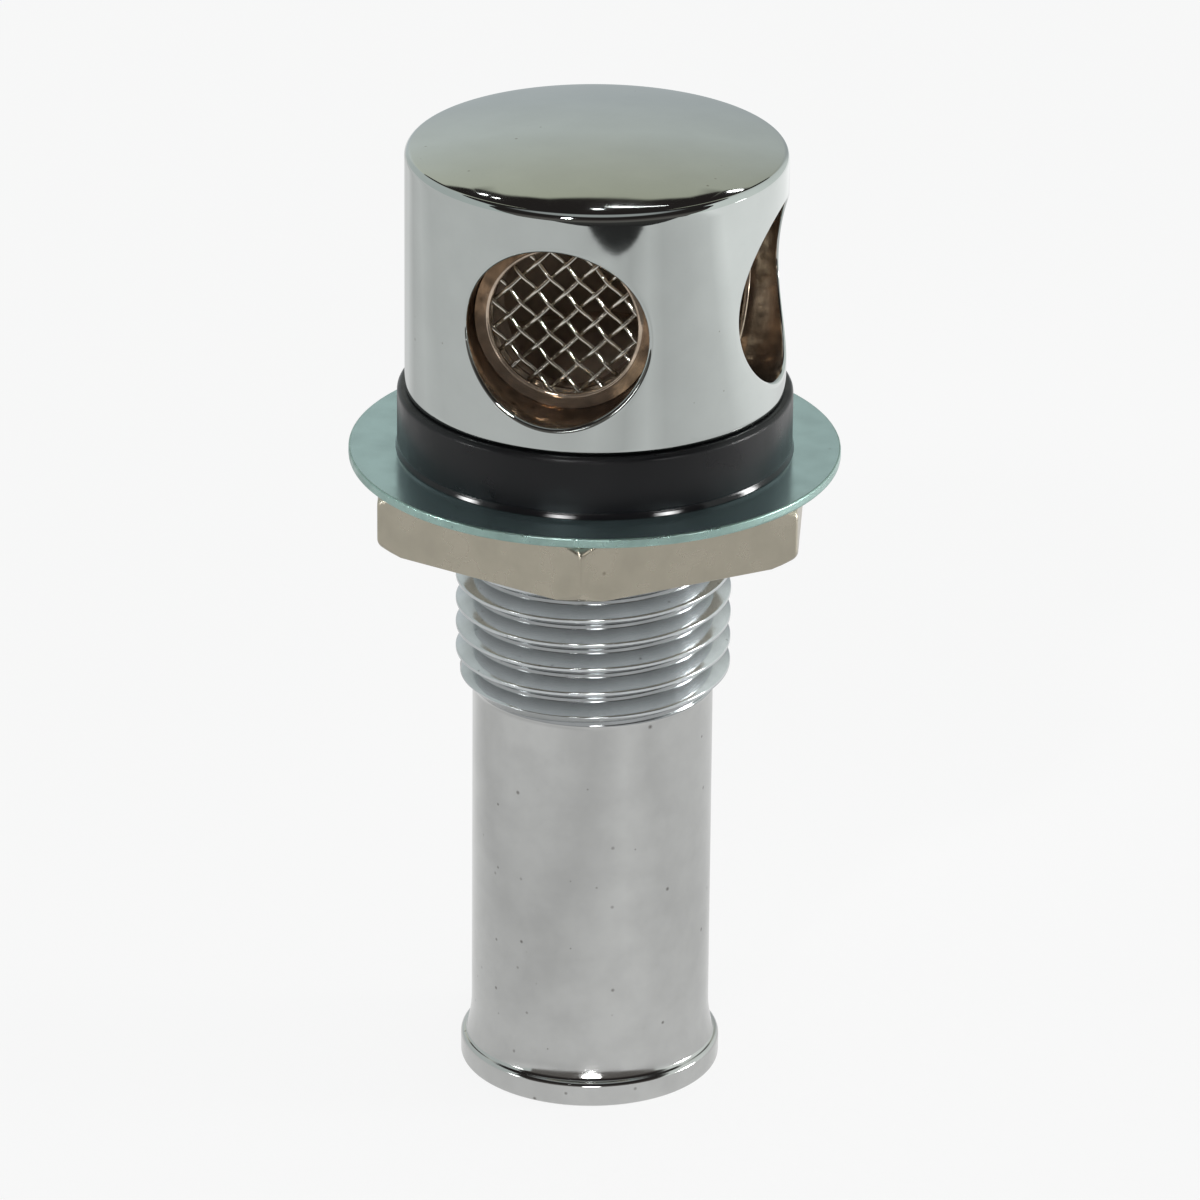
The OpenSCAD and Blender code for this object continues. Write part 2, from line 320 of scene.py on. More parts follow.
# %% Tones of the tent
BACK_TONES = [
    (0.0, (0.55, 0.59, 0.61)),
    (0.165, (0.556, 0.597, 0.61)),
    (0.325, (0.64, 0.68, 0.66)),
    (0.48, (0.585, 0.60, 0.515)),
    (0.56, (0.55, 0.56, 0.45)),
]
SIDE_TONES = [(-1.0, (0.62, 0.67, 0.66)), (0.0, (0.66, 0.70, 0.69)), (1.0, (0.95, 1.0, 0.97))]
ROOM_TONES = [(-0.35, (0.03, 0.03, 0.03)), (-0.1, (0.17, 0.16, 0.15)), (0.25, (0.10, 0.09, 0.085))]
ROOM_TONES += [(0.5, (0.026, 0.022, 0.021)), (0.89, (0.03, 0.027, 0.026)), (0.955, (0.46, 0.48, 0.48))]
FILL_TONE = (0.97, 1.0, 0.99)
FILL_LEVEL = 0.55
LEFT_GAIN = -0.6
BACK_SPAN = (0.86, 0.96)

on_back = add_range(tree, to_back, *BACK_SPAN, 0.0, 1.0, smooth=True)
side_tone = ramp_of(tree, to_right, SIDE_TONES)
wall_tone = add_mix(tree, on_back, side_tone, ramp_of(tree, height, BACK_TONES))
room_tone = add_mix(tree, in_tent, ramp_of(tree, height, ROOM_TONES), wall_tone)
gain = add_math(tree, "MULTIPLY_ADD", to_right, LEFT_GAIN, 1.0)
back_gain = add_mix(tree, add_math(tree, "MULTIPLY", on_back, in_tent), 1.0, gain, colour=False)
path = add_node(tree, "ShaderNodeLightPath").outputs
tent = add_node(tree, "ShaderNodeBackground", Color=room_tone, Strength=back_gain)
soft_fill = add_node(tree, "ShaderNodeBackground", Color=(*FILL_TONE, 1), Strength=FILL_LEVEL)
white_view = add_node(tree, "ShaderNodeBackground", Color=(1, 1, 1, 1))
filled = mix_shaders(tree, path["Is Diffuse Ray"], tent, soft_fill)
viewed = mix_shaders(tree, path["Is Camera Ray"], filled, white_view)
feed(tree, output.inputs["Surface"], viewed.outputs[0])
print("tent tones:", len(BACK_TONES), "up the back,", len(SIDE_TONES), "round the sides")

# %% [markdown]
# Small lamps give chrome its sparkle. Five hang behind the tent's back edge and show on the rim of the
# crown. One shines down into the front port, where the sloping parts of the wires catch it. Three stand
# low in front and at the sides with a narrow beam, and show on the thread and the bead.

# %% Hang the lamps
CROWN_AIM = 0.0215
SCREEN_AIM = 0.0125
STEM_AIM = -0.028
WIDE = 180.0
NARROW = 18.0
BROAD = 22.0
CLOSE = 14.0
# Each lamp has the level it aims at, its turn and rise, its reach, its size, its power and its beam.
LAMPS = {
    "lamp_back_tube": (CROWN_AIM, 177.4, 35.9, 1.2, (0.070, 0.004), 0.007, WIDE),
    "lamp_back_middle": (CROWN_AIM, 180.0, 37.1, 1.2, (0.012, 0.009), 0.004, WIDE),
    "lamp_back_left": (CROWN_AIM, 186.9, 32.8, 1.2, (0.014, 0.009), 0.004, WIDE),
    "lamp_back_near_left": (CROWN_AIM, 186.3, 33.9, 1.2, (0.010, 0.007), 0.002, WIDE),
    "lamp_back_right": (CROWN_AIM, 171.5, 31.5, 1.2, (0.030, 0.016), 0.015, WIDE),
    "lamp_screen": (SCREEN_AIM, -18.5, 35.0, 0.30, (0.030, 0.030), 0.0020, CLOSE),
    "lamp_low_front": (STEM_AIM, 2.0, 2.0, 0.20, (0.080, 0.030), 0.004, NARROW),
    "lamp_low_left": (STEM_AIM, -66.0, 2.0, 0.20, (0.040, 0.030), 0.0005, NARROW),
    "lamp_low_right": (STEM_AIM, 92.0, 2.0, 0.20, (0.100, 0.040), 0.011, BROAD),
}


def way_to(turn, rise):
    """A direction turned from the camera's side round the axis, and raised. Both are in degrees."""
    bearing = Matrix.Rotation(math.radians(turn), 3, "Z") @ forward_flat
    return bearing * math.cos(math.radians(rise)) + Vector((0, 0, math.sin(math.radians(rise))))


def hang_lamp(name, spot, away, reach, size, power, spread):
    """An area lamp that shines on a spot from some way off."""
    light = bpy.data.lights.new(name, "AREA")
    light.shape = "ELLIPSE"
    light.size, light.size_y = size
    light.energy = power
    light.spread = math.radians(spread)
    lamp = bpy.data.objects.new(name, light)
    lamp.location = spot + away * reach
    lamp.rotation_mode = "QUATERNION"
    lamp.rotation_quaternion = away.to_track_quat("Z", "Y")
    scene.collection.objects.link(lamp)
    print(name, "at", [round(v, 3) for v in lamp.location])


for name, (aim_level, turn, rise, *rest) in LAMPS.items():
    hang_lamp(name, Vector((0, 0, aim_level)), way_to(turn, rise), *rest)

# %% [markdown]
# The gasket's foot lip is glossy and leans back a little. Four small lamps near it each give one dash of
# light. A mirror tells where such a lamp has to be: the way to the camera, reflected by the lip's face.

# %% Lamps for the gasket's lip
LIP_SLOPE = 18.0
LIP_LEVEL = 0.00015
LIP_TURNS = (-38.6, -9.5, 21.5, 50.5)
LIP_REACH = 0.045
LIP_LAMP = (0.016, 0.003)
LIP_POWER = 0.00006

lip_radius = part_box("gasket")[1].x
for number, turn in enumerate(LIP_TURNS, 1):
    spot = way_to(turn, 0.0) * lip_radius + Vector((0, 0, LIP_LEVEL))
    to_eye = (camera.location - spot).normalized()
    away = -to_eye.reflect(way_to(turn, LIP_SLOPE))
    hang_lamp(f"lamp_lip_{number}", spot, away, LIP_REACH, LIP_LAMP, LIP_POWER, NARROW)

# %% [markdown]
# Several finishes share the same small faults, so each fault is a node group with its own sockets.
# Plate haze changes the roughness a little from place to place. Pits are tiny dark specks in the plate.
# Turned lines are the rings that a lathe or a polishing wheel leaves.


# %% Node groups for the finishes
HAZE_RANGE = (0.35, 0.68)
STAIN_RANGE = (0.35, 0.7)


def new_group(name, inputs, outputs):
    """A shader node group with float inputs (name, default) and named float outputs."""
    group = bpy.data.node_groups.new(name, "ShaderNodeTree")
    for label, default in inputs:
        socket = group.interface.new_socket(label, in_out="INPUT", socket_type="NodeSocketFloat")
        socket.default_value = default
    for label in outputs:
        group.interface.new_socket(label, in_out="OUTPUT", socket_type="NodeSocketFloat")
    source = group.nodes.new("NodeGroupInput")
    target = group.nodes.new("NodeGroupOutput")
    return group, source.outputs, target


def make_plate_haze():
    """Cloudy roughness between a clear and a hazed value, and the cloud itself as a height."""
    inputs = [("Scale", 300.0), ("Clear", 0.05), ("Hazed", 0.12)]
    group, source, target = new_group("plate_haze", inputs, ["Roughness", "Height"])
    noise = add_node(group, "ShaderNodeTexNoise", Detail=5.0)
    feed_all(group, noise, Vector=place_of(group), Scale=source["Scale"])
    cloud = noise.outputs["Fac"]
    haze = add_range(group, cloud, *HAZE_RANGE, source["Clear"], source["Hazed"])
    feed_all(group, target, Roughness=haze, Height=cloud)
    return group


def make_pits():
    """A mask of small specks of many sizes, in some of the cells of a random pattern."""
    group, source, target = new_group("pits", [("Scale", 400.0), ("Size", 0.1), ("Share", 0.2)], ["Mask"])
    cells = add_node(group, "ShaderNodeTexVoronoi", Vector=place_of(group), Scale=source["Scale"]).outputs
    draw = add_node(group, "ShaderNodeSeparateColor", Color=cells["Color"]).outputs
    chosen = add_math(group, "LESS_THAN", draw[0], source["Share"])
    width = add_math(group, "MULTIPLY", draw[1], source["Size"])
    spot = add_range(group, cells["Distance"], 0.0, width, 1.0, 0.0)
    feed_all(group, target, Mask=add_math(group, "MULTIPLY", spot, chosen))
    return group


def make_turned_lines():
    """Fine rings round the vent's axis, as a height."""
    group, source, target = new_group("turned_lines", [("Per Metre", 9000.0)], ["Height"])
    lines = add_node(group, "ShaderNodeTexNoise", noise_dimensions="1D", Detail=3.0)
    feed_all(group, lines, W=axis_distance(group), Scale=source["Per Metre"])
    feed_all(group, target, Height=lines.outputs["Fac"])
    return group


PLATE_HAZE = make_plate_haze()
PITS = make_pits()
TURNED_LINES = make_turned_lines()
print("groups:", [g.name for g in (PLATE_HAZE, PITS, TURNED_LINES)])


# %% [markdown]
# Every metal here is the same recipe with its own numbers: a colour, a darker tone for pits, a pair of
# roughness values and a fine relief. One function makes them all, so a finish is a short list of values.


# %% Metal finishes
def place_group(tree, group, **values):
    """Puts a node group into a material with its own values and gives its outputs."""
    node = add_node(tree, "ShaderNodeGroup", node_tree=group)
    feed_all(tree, node, **values)
    return node.outputs


def add_dirt(tree, tone, root, crest, dark):
    """Paints shade into a tone toward the root of a groove, by the distance from the vent's axis."""
    painted_shade_factor = add_range(tree, axis_distance(tree), root, crest, dark, 1.0)
    shaded = add_node(tree, "ShaderNodeVectorMath", operation="SCALE", Scale=painted_shade_factor)
    feed(tree, shaded.inputs[0], tone)
    return shaded.outputs[0]


def make_metal(name, colour, pit_colour, roughness, haze_scale, pits, relief, **extra):
    """A plated metal. roughness is (clear, hazed), pits is (scale, size, share) and relief is
    (strength, depth in metres). Extras: stain is how far the haze darkens it, bare its metallic share,
    lines how many turned rings there are to a metre, dirt (root radius, crest radius,
    dark share) for painted shade toward the roots of a thread, and edge the tint of what it mirrors
    at a slant."""
    material, tree, shader, _ = new_material(name)
    haze = place_group(tree, PLATE_HAZE, Scale=haze_scale, Clear=roughness[0], Hazed=roughness[1])
    speck = place_group(tree, PITS, Scale=pits[0], Size=pits[1], Share=pits[2])
    stained = [c * (1 - extra.get("stain", 0.06)) for c in colour]
    cloud = add_range(tree, haze["Height"], *STAIN_RANGE, 0.0, 1.0)
    plate = add_mix(tree, cloud, (*colour, 1), (*stained, 1))
    # Painted shade: where it is asked for, the tone darkens toward the roots of a thread.
    if "dirt" in extra:
        plate = add_dirt(tree, plate, *extra["dirt"])
    height = haze["Height"]
    if "lines" in extra:
        height = place_group(tree, TURNED_LINES, Per_Metre=extra["lines"])["Height"]
    bump = add_node(tree, "ShaderNodeBump", Strength=relief[0], Distance=relief[1], Height=height)
    shader.inputs["Metallic"].default_value = extra.get("bare", 1.0)
    shader.inputs["Specular Tint"].default_value = (*extra.get("edge", (1, 1, 1)), 1)
    tone = add_mix(tree, speck["Mask"], plate, (*pit_colour, 1))
    feed_all(tree, shader, Base_Color=tone, Roughness=haze["Roughness"], Normal=bump.outputs["Normal"])
    return material


HEAD_CHROME = make_metal(
    "head_chrome",
    colour=(0.515, 0.545, 0.53),
    pit_colour=(0.20, 0.19, 0.16),
    roughness=(0.02, 0.05),
    haze_scale=260.0,
    pits=(700.0, 0.11, 0.5),
    relief=(0.05, 0.00002),
)
STEM_CHROME = make_metal(
    "stem_chrome",
    colour=(0.57, 0.575, 0.565),
    pit_colour=(0.12, 0.11, 0.10),
    roughness=(0.06, 0.14),
    haze_scale=420.0,
    pits=(800.0, 0.16, 0.9),
    relief=(0.06, 0.00002),
    stain=0.09,
)
THREAD_CHROME = make_metal(
    "thread_chrome",
    colour=(0.59, 0.615, 0.625),
    pit_colour=(0.20, 0.20, 0.20),
    roughness=(0.08, 0.19),
    haze_scale=900.0,
    pits=(1200.0, 0.18, 0.5),
    relief=(0.35, 0.00003),
    # Painted shade in the thread's roots: darker from 9.3 mm in to 8.4 mm from the axis.
    dirt=(0.0084, 0.0093, 0.62),
    bare=0.93,
)
PORT_BRONZE = make_metal(
    "port_bronze",
    colour=(0.60, 0.475, 0.365),
    pit_colour=(0.10, 0.07, 0.05),
    roughness=(0.08, 0.22),
    haze_scale=900.0,
    pits=(900.0, 0.3, 0.6),
    relief=(0.40, 0.00006),
    stain=0.65,
    bare=0.92,
    edge=(0.14, 0.10, 0.075),
)
CHAMBER_DULL = make_metal(
    "chamber_dull",
    colour=(0.50, 0.39, 0.295),
    pit_colour=(0.08, 0.06, 0.04),
    roughness=(0.30, 0.46),
    haze_scale=500.0,
    pits=(700.0, 0.3, 0.4),
    relief=(0.15, 0.00004),
    stain=0.3,
    bare=0.5,
)
RIM_BRONZE = make_metal(
    "rim_bronze",
    colour=(0.68, 0.55, 0.435),
    pit_colour=(0.12, 0.08, 0.06),
    roughness=(0.08, 0.20),
    haze_scale=900.0,
    pits=(1000.0, 0.25, 0.5),
    relief=(0.30, 0.00005),
    stain=0.55,
    bare=0.85,
    edge=(0.35, 0.26, 0.20),
)
WIRE_STEEL = make_metal(
    "wire_steel",
    colour=(0.72, 0.69, 0.62),
    pit_colour=(0.24, 0.20, 0.15),
    roughness=(0.12, 0.22),
    haze_scale=900.0,
    pits=(1400.0, 0.3, 0.35),
    relief=(0.08, 0.00001),
)
WASHER_ZINC = make_metal(
    "washer_zinc",
    colour=(0.43, 0.60, 0.62),
    pit_colour=(0.20, 0.26, 0.26),
    roughness=(0.16, 0.26),
    haze_scale=350.0,
    pits=(900.0, 0.15, 0.4),
    relief=(0.10, 0.00001),
    bare=0.92,
    lines=14000.0,
)
WASHER_EDGE = make_metal(
    "washer_edge",
    colour=(0.35, 0.50, 0.46),
    pit_colour=(0.14, 0.18, 0.18),
    roughness=(0.24, 0.40),
    haze_scale=900.0,
    pits=(1600.0, 0.2, 0.4),
    relief=(0.20, 0.00002),
    stain=0.2,
)
NUT_NICKEL = make_metal(
    "nut_nickel",
    colour=(0.455, 0.42, 0.34),
    pit_colour=(0.16, 0.13, 0.09),
    roughness=(0.24, 0.36),
    haze_scale=420.0,
    pits=(800.0, 0.15, 0.45),
    relief=(0.05, 0.00002),
    stain=0.12,
)
print("metals:", [m.name for m in bpy.data.materials if m.users == 0])

# %% [markdown]
# Rubber is not metal: it is nearly black, with a soft gleam and a little dust that clings to it.
# Its thin foot lip is the smoothest part, because it is pressed against the mould.

# %% Rubber finish
RUBBER_BLACK = (0.005, 0.005, 0.006, 1)
RUBBER_SHEEN = 0.27
DUST_GREY = (0.06, 0.06, 0.055, 1)
GLOSSY_BELOW = (0.0003, 0.0006)
LIP_GLOSS = 0.3

GASKET_RUBBER, tree, shader, _ = new_material("gasket_rubber")
shader.inputs["Specular IOR Level"].default_value = RUBBER_SHEEN
bloom = place_group(tree, PLATE_HAZE, Scale=300.0, Clear=0.26, Hazed=0.44)
dust = place_group(tree, PITS, Scale=900.0, Size=0.25, Share=0.12)
tone = add_mix(tree, dust["Mask"], RUBBER_BLACK, DUST_GREY)
lip_height = add_node(tree, "ShaderNodeSeparateXYZ", Vector=place_of(tree)).outputs["Z"]
above_lip = add_range(tree, lip_height, *GLOSSY_BELOW, LIP_GLOSS, 1.0)
gleam = add_math(tree, "MULTIPLY", above_lip, bloom["Roughness"])
bump = add_node(tree, "ShaderNodeBump", Strength=0.2, Distance=0.00004, Height=bloom["Height"])
feed_all(tree, shader, Base_Color=tone, Roughness=gleam, Normal=bump.outputs["Normal"])
print("rubber ready")

# %% [markdown]
# Most pieces are turned on a lathe, so most meshes are a half section spun round the axis.
# Real edges are never sharp: each corner of a section becomes a small arc, with a holding ring on both
# sides so that the flats stay flat when they are shaded smooth. Sections are written in millimetres and
# become metres when their points are made.


# %% Sections and rows of points
WELD = 0.000002
ARC_STEPS = 6
HOLD = 1.25
ON_AXIS = 0.000001


def rounded(corners):
    """Points of a section given as corners (radius, level, edge radius), with the corners as arcs."""
    points = []
    for i, (r, z, edge) in enumerate(corners):
        here = Vector((r, z))
        if edge == 0:
            points.append(here)
            continue
        back = (Vector(corners[i - 1][:2]) - here).normalized()
        ahead = (Vector(corners[(i + 1) % len(corners)][:2]) - here).normalized()
        half = back.angle(ahead) / 2
        reach = edge / math.tan(half)
        centre = here + (back + ahead).normalized() * (edge / math.sin(half))
        first = here + back * reach - centre
        last = here + ahead * reach - centre
        sweep = first.angle(last)
        points.append(here + back * reach * HOLD)
        for k in range(ARC_STEPS + 1):
            f = k / ARC_STEPS
            mix = first * math.sin((1 - f) * sweep) + last * math.sin(f * sweep)
            points.append(centre + mix / math.sin(sweep))
        points.append(here + ahead * reach * HOLD)
    return [(p.x, p.y) for p in points]


def turns_of(count, first=-135.0):
    """Equal steps round the axis, in radians."""
    return [math.radians(first + 360.0 * i / count) for i in range(count)]


def spun_point(bm, radius, turn, level):
    """A point at one turn round the axis. Sizes are in millimetres."""
    return bm.verts.new((radius * MM * math.cos(turn), radius * MM * math.sin(turn), level * MM))


def ring_of(bm, radius, level, turns):
    """A ring of points, or a single point on the axis."""
    if radius < ON_AXIS:
        return [spun_point(bm, 0.0, 0.0, level)]
    return [spun_point(bm, radius, a, level) for a in turns]


def add_face(bm, corners, finish):
    """A smooth face, unless fewer than three of its corners differ."""
    loop = list(dict.fromkeys(corners))
    if len(loop) > 2:
        face = bm.faces.new(loop)
        face.smooth = True
        face.material_index = finish


def skin(bm, first, second, finish=0, round_trip=True):
    """Faces between two rows of points, which run right round unless round_trip is off."""
    m, n = len(first), len(second)
    count = max(m, n)
    for i in range(count if round_trip else count - 1):
        j = (i + 1) % count
        add_face(bm, (first[i % m], first[j % m], second[j % n], second[i % n]), finish)


def skin_rows(bm, rows, closed=False, finish=0, round_trip=True):
    """Faces between each row and the next, and from the last to the first where closed is on."""
    for a, b in zip(rows, rows[1:] + rows[:1] if closed else rows[1:]):
        skin(bm, a, b, finish, round_trip)


def spin(bm, section, turns, closed=False, finish=0):
    """Skins a half section, given as (radius, level) points, spun round the axis."""
    skin_rows(bm, [ring_of(bm, r, z, turns) for r, z in section], closed, finish)


def make_piece(name, bm, finishes, body, node, place=None):
    """Welds the mesh, turns its faces outwards and hands the piece to its body."""
    bmesh.ops.remove_doubles(bm, verts=bm.verts, dist=WELD)
    bmesh.ops.recalc_face_normals(bm, faces=bm.faces)
    if place:
        bm.transform(place)
    open_edges = sum(1 for e in bm.edges if len(e.link_faces) != 2)
    mesh = bpy.data.meshes.new(name)
    bm.to_mesh(mesh)
    bm.free()
    for finish in finishes:
        mesh.materials.append(finish)
    piece = bpy.data.objects.new(name, mesh)
    scene.collection.objects.link(piece)
    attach(piece, body)
    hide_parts(node)
    print(name, len(mesh.polygons), "faces, open edges:", open_edges)


print("mesh helpers ready")

# %% [markdown]
# The head is a turned cup with two stepped ports. A boolean would leave long thin faces that spoil a
# mirror finish, so the wall is laid out in four quarters. A quarter with a port is a set of rows
# that start at the quarter's own edges, close in on the port, roll over its lip and run down the port,
# over the ledge, through the mouth and out over the wall of the chamber. The other two quarters are plain
# grids that share those edges. The crown and the underside are spun rings.

# %% Sizes of the head
HEAD_LOW, HEAD_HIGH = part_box("head")
HEAD_R = (HEAD_HIGH.x - HEAD_LOW.x) / 2 / MM
UNDERSIDE = HEAD_LOW.z / MM
CROWN_TOP = HEAD_HIGH.z / MM
CROWN_EDGE = 0.5
DOME_R = 90.0
CHAMBER_R = 7.5
CROWN_T = 2.6
PORT_R = 6.25
PORT_RISE = 8.1
PORT_LEVEL = UNDERSIDE + PORT_RISE
PORT_COUNT = 2
MOUTH_R = 5.1
LEDGE_X = 8.4
LIP = 0.35
UNDER_ROUND = 0.25
SIDE = 44
WALL_STEPS = 14
WALL_CROWDING = 0.8
CROWN_STEPS = 12
DOME_STEPS = 16
PORT_SHARES = (0.75, 0.5, 0.25, 0.02, 0.0)
WALL_HOLD = 0.04
MOUTH_HOLD = 0.06
FOOT_SHARES = (0.3, 1.6)

edge_x = HEAD_R - CROWN_EDGE
dome_centre = CROWN_TOP - DOME_R
edge_level = dome_centre + math.sqrt((DOME_R - CROWN_EDGE) ** 2 - edge_x**2)
roof_level = CROWN_TOP - CROWN_T
AROUND_PORT = [math.radians(-45 + 360.0 * i / (4 * SIDE)) for i in range(4 * SIDE)]
print("head", round(2 * HEAD_R, 2), "mm across, ports at level", round(PORT_LEVEL, 2))


# %% Rows of the head's wall
def on_round(radius, turn, level):
    """A point on a round wall; turn is in degrees from the middle of the quarter."""
    t = math.radians(turn)
    return (radius * math.sin(t), radius * math.cos(t), level)


def quarter_edge(low, high):
    """Turn and level of points along the four edges of a quarter of a round wall."""
    points = []
    for i in range(4 * SIDE):
        side, step = divmod(i, SIDE)
        f = step / SIDE
        points.append(
            [
                (45.0, low + f * (high - low)),
                (45.0 - 90.0 * f, high),
                (-45.0, high - f * (high - low)),
                (-45.0 + 90.0 * f, low),
            ][side]
        )
    return points


def holed_rows(radius, hole, low, high):
    """Rows on a round wall from the edges of a quarter to the rim of a round hole in its middle."""
    rows = []
    for step in range(WALL_STEPS + 1):
        f = (step / WALL_STEPS) ** WALL_CROWDING
        row = []
        for (turn, level), a in zip(quarter_edge(low, high), AROUND_PORT):
            hole_turn = math.degrees(math.asin(hole * math.cos(a) / radius))
            hole_level = PORT_LEVEL + hole * math.sin(a)
            row.append(on_round(radius, turn + f * (hole_turn - turn), level + f * (hole_level - level)))
        rows.append(row)
    return rows


def plain_rows(radius, low, high):
    """Rows on a plain quarter of a round wall, from its foot to its top."""
    rows = []
    for k in range(SIDE + 1):
        level = low + (high - low) * k / SIDE
        rows.append([on_round(radius, 45.0 - 90.0 * i / SIDE, level) for i in range(SIDE + 1)])
    return rows


def port_row(radius, depth):
    """A row round the port at one radius; depth gives its distance from the vent's axis."""
    row = []
    for a in AROUND_PORT:
        lateral = radius * math.cos(a)
        row.append((lateral, depth(lateral), PORT_LEVEL + radius * math.sin(a)))
    return row


def head_depth(lateral):
    """Distance of the head's wall from the vent's axis, measured along the port."""
    return math.sqrt(HEAD_R**2 - lateral**2)


def lip_rows():
    """Rows that roll from the wall into the port."""
    outer = port_row(PORT_R + LIP, head_depth)
    corner = port_row(PORT_R, head_depth)
    inner = port_row(PORT_R, lambda lateral: head_depth(lateral) - LIP)
    rows = []
    for k in range(1, ARC_STEPS + 1):
        f = k / ARC_STEPS
        weights = ((1 - f) ** 2, 2 * f * (1 - f), f**2)
        rows.append(
            [
                tuple(sum(w * p[n] for w, p in zip(weights, trio)) for n in range(3))
                for trio in zip(outer, corner, inner)
            ]
        )
    return rows


outside = holed_rows(HEAD_R, PORT_R + LIP, UNDERSIDE + UNDER_ROUND, edge_level)
lips = lip_rows()
port_wall = [
    port_row(PORT_R, lambda lateral, f=f: LEDGE_X + (head_depth(lateral) - LIP - LEDGE_X) * f)
    for f in PORT_SHARES
]
ledge_radii = (PORT_R - WALL_HOLD, MOUTH_R + MOUTH_HOLD, MOUTH_R)
ledge = [port_row(r, lambda lateral: LEDGE_X) for r in ledge_radii]
mouth = [port_row(MOUTH_R, lambda lateral: LEDGE_X - MOUTH_HOLD)]
inside = holed_rows(CHAMBER_R, MOUTH_R, UNDERSIDE, roof_level)[::-1]
print("rows in a quarter with a port:", len(outside + lips + port_wall + ledge + mouth + inside))

# %% Head
PLATED, BARE, DULL = 0, 1, 2


def place_rows(bm, rows, quarter):
    """Points of rows given as (lateral, outward, level), turned to a quarter of the head."""
    swing = Matrix.Rotation(math.radians(90.0 * quarter), 3, "Z")
    return [
        [bm.verts.new(swing @ Vector((x * MM, -out * MM, z * MM))) for x, out, z in row]
        for row in rows
    ]


bm = bmesh.new()
for quarter in range(4):
    if quarter < PORT_COUNT:
        skin_rows(bm, place_rows(bm, outside + lips[:-1], quarter), finish=PLATED)
        skin_rows(bm, place_rows(bm, lips[-2:] + port_wall + ledge + mouth, quarter), finish=BARE)
        skin_rows(bm, place_rows(bm, mouth + inside, quarter), finish=DULL)
    else:
        wall = plain_rows(HEAD_R, UNDERSIDE + UNDER_ROUND, edge_level)
        skin_rows(bm, place_rows(bm, wall, quarter), finish=PLATED, round_trip=False)
        wall = plain_rows(CHAMBER_R, UNDERSIDE, roof_level)
        skin_rows(bm, place_rows(bm, wall, quarter), finish=DULL, round_trip=False)

turns = turns_of(4 * SIDE)
slope_end = math.asin(edge_x / (DOME_R - CROWN_EDGE))
crown = [(HEAD_R, edge_level)]
for k in range(1, CROWN_STEPS + 1):
    a = (math.pi / 2 - slope_end) * k / CROWN_STEPS
    crown.append((edge_x + CROWN_EDGE * math.cos(a), edge_level + CROWN_EDGE * math.sin(a)))
for k in range(1, DOME_STEPS + 1):
    a = slope_end * (1 - k / DOME_STEPS)
    crown.append((DOME_R * math.sin(a), dome_centre + DOME_R * math.cos(a)))
spin(bm, crown, turns, finish=PLATED)

foot_middle, foot_hold = (share * UNDER_ROUND for share in FOOT_SHARES)
foot = [
    (HEAD_R, UNDERSIDE + UNDER_ROUND),
    (HEAD_R - foot_middle, UNDERSIDE + foot_middle),
    (HEAD_R - UNDER_ROUND, UNDERSIDE),
    (HEAD_R - foot_hold, UNDERSIDE),
    (CHAMBER_R, UNDERSIDE),
]
spin(bm, foot, turns, finish=PLATED)
spin(bm, [(CHAMBER_R, roof_level), (0.0, roof_level)], turns, finish=DULL)
head_finishes = [HEAD_CHROME, PORT_BRONZE, CHAMBER_DULL]
make_piece("vent_head", bm, head_finishes, "vent", "head")

# %% [markdown]
# The stem carries a right-hand thread, 14 turns to the inch. A thread made from flat rings would be a
# stack of discs, so the rows here climb one pitch for each turn round the axis, and each row joins the
# one a pitch away where the turn closes. Points past either end are pulled back to a plain ring.

# %% Thread
PITCH = 1.814
THREAD_R = 9.525
THREAD_DEPTH = 0.6134 * PITCH
CREST_FLAT = 1 / 16
CREST_SOFT = 0.08
CREST_LEVEL = -9.215
HALF_FORM = [0.0, 0.032, 0.047, 0.056, 0.0625, 0.069, 0.08, 0.1, 0.16, 0.24, 0.32, 0.385]
HALF_FORM += [0.402, 0.412, 0.42, 0.43, 0.445, 0.47]
STATIONS = HALF_FORM + [0.5] + [1 - s for s in reversed(HALF_FORM[1:])]


def smooth_over(x, soft):
    """The larger of x and zero, with a soft knee."""
    if x <= -soft:
        return 0.0
    return x if x >= soft else (x + soft) ** 2 / (4 * soft)


def thread_drop(station):
    """How far below the crest the thread is, at a share of a pitch from the crest's middle."""
    offset = min(station, 1 - station)
    slope = smooth_over((offset - CREST_FLAT) * PITCH * math.sqrt(3), CREST_SOFT)
    return THREAD_DEPTH - smooth_over(THREAD_DEPTH - slope, CREST_SOFT)


def stem_thread(station):
    """Radius of the stem's thread at a share of a pitch."""
    return THREAD_R - thread_drop(station)


def screw_rows(bm, turns, radius_at, low, high, end_r, inward=False, finish=0):
    """Skins a thread between two levels; end_r is the radius of its top and bottom rings."""
    pick = max if inward else min
    lean = -1 if inward else 1
    front = -math.pi / 2 + CAMERA_TURN
    start = CREST_LEVEL - PITCH * (front - turns[0]) / (2 * math.pi)
    start += PITCH * math.ceil((high + PITCH - start) / PITCH)
    per_turn = len(STATIONS)
    count = per_turn * (math.ceil((start - low) / PITCH) + 2)
    grid = []
    for row in range(count):
        whole, k = divmod(row, per_turn)
        line = []
        for a in turns:
            climb = (a - turns[0]) / (2 * math.pi)
            z = start + (climb - whole - STATIONS[k]) * PITCH
            z = min(max(z, low), high)
            r = pick(radius_at(STATIONS[k]), end_r + lean * (high - z), end_r + lean * (z - low))
            line.append(spun_point(bm, r, a, z))
        grid.append(line)
    last = len(turns) - 1
    for row in range(count - 1):
        for i in range(len(turns)):
            j, shift = (i + 1, 0) if i < last else (0, per_turn)
            upper, lower = max(row - shift, 0), max(row + 1 - shift, 0)
            add_face(bm, (grid[row][i], grid[upper][j], grid[lower][j], grid[row + 1][i]), finish)


print("thread", PITCH, "mm pitch,", len(STATIONS), "rows to a turn")

